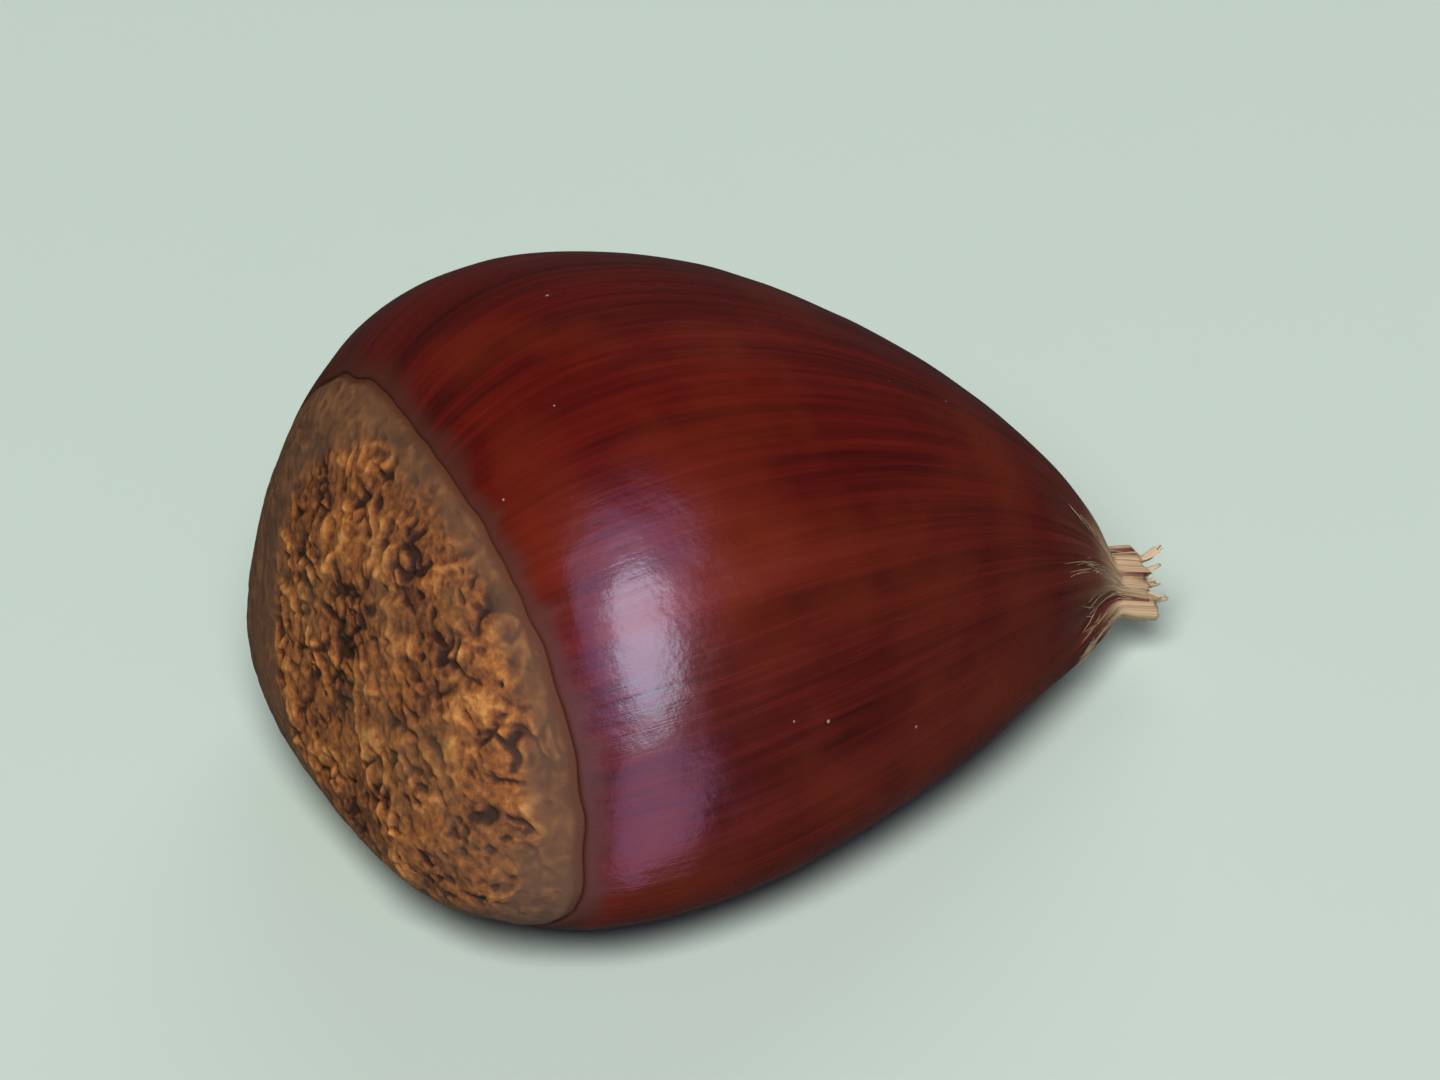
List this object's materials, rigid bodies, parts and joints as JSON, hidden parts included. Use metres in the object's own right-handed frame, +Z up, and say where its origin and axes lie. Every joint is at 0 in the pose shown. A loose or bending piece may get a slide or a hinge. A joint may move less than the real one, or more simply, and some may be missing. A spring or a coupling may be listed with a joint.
{
  "type": "chestnut",
  "caption": "Whole sweet chestnut in its glossy brown shell, with the rough base scar and the dried style tuft at its tip, lying on its flatter side.",
  "frame": {"origin": "middle of the nut's bounding box, on the surface that the nut rests on", "axes": "+X along the nut from its base scar to its tip, +Y across its width, +Z up from the flatter side to the round side"},
  "size_m": [0.035, 0.029, 0.0218],
  "materials": {
    "shell": "gloss",
    "scar": "matte",
    "tuft": "matte"
  },
  "bodies": {
    "root": {"chestnut": "shell"}
  },
  "joints": []
}
